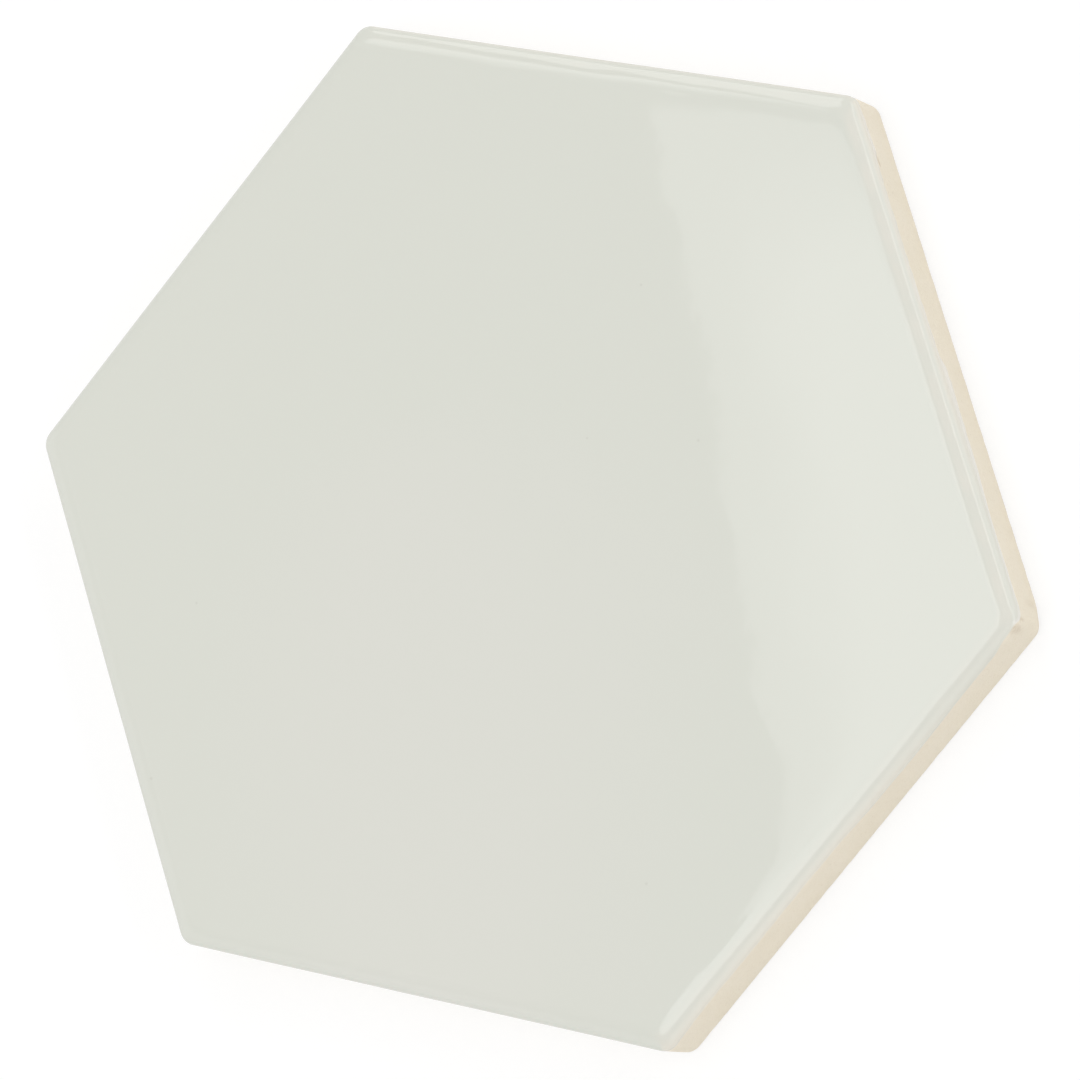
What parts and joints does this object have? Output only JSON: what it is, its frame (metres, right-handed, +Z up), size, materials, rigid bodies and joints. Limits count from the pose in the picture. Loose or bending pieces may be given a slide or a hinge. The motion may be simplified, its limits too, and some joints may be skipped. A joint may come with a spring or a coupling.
{
  "type": "hexagon floor tile",
  "caption": "Flat hexagonal ceramic tile, glossy pale sage glaze over its face and rounded rim, bare cream walls, and a shallow grooved back that beds in adhesive.",
  "frame": {"origin": "centre of the tile's back, on the plane that it rests on", "axes": "+Z up through the glazed face, +X through a corner, +Y square through the middle of a side"},
  "size_m": [0.1234, 0.1074, 0.0083],
  "materials": {
    "glazed_ceramic": "glossy glaze on the face and rim, bare matt biscuit on the walls and back"
  },
  "bodies": {
    "root": {"hexagon_tile": "glazed_ceramic"}
  },
  "joints": []
}
